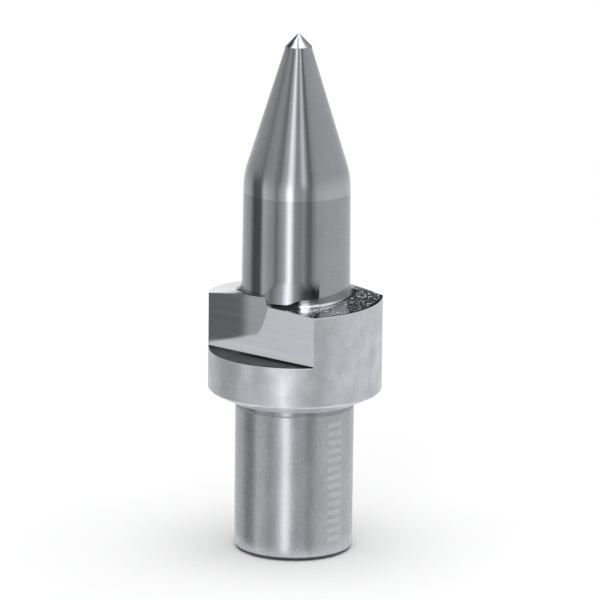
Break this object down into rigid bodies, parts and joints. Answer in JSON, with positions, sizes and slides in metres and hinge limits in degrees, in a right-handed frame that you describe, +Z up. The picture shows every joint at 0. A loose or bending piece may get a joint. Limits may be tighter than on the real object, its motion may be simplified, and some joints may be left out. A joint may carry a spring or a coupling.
{
  "type": "friction drill",
  "caption": "Solid carbide friction drill: a pointed, very slightly lobed body for forming a hole by heat, a notched collar that trims the rim flat, and a plain round shank.",
  "frame": {"origin": "centre of the shank's flat end, which the tool stands on", "axes": "+Z up the tool's axis from the shank to the point; -Y is the side where one notch's wall faces forward and to the left"},
  "size_m": [0.0146, 0.0146, 0.0439],
  "materials": {
    "ground_carbide": "ground, fine grinding lines, satin to bright"
  },
  "bodies": {
    "root": {"friction_drill": "ground_carbide"}
  },
  "joints": []
}
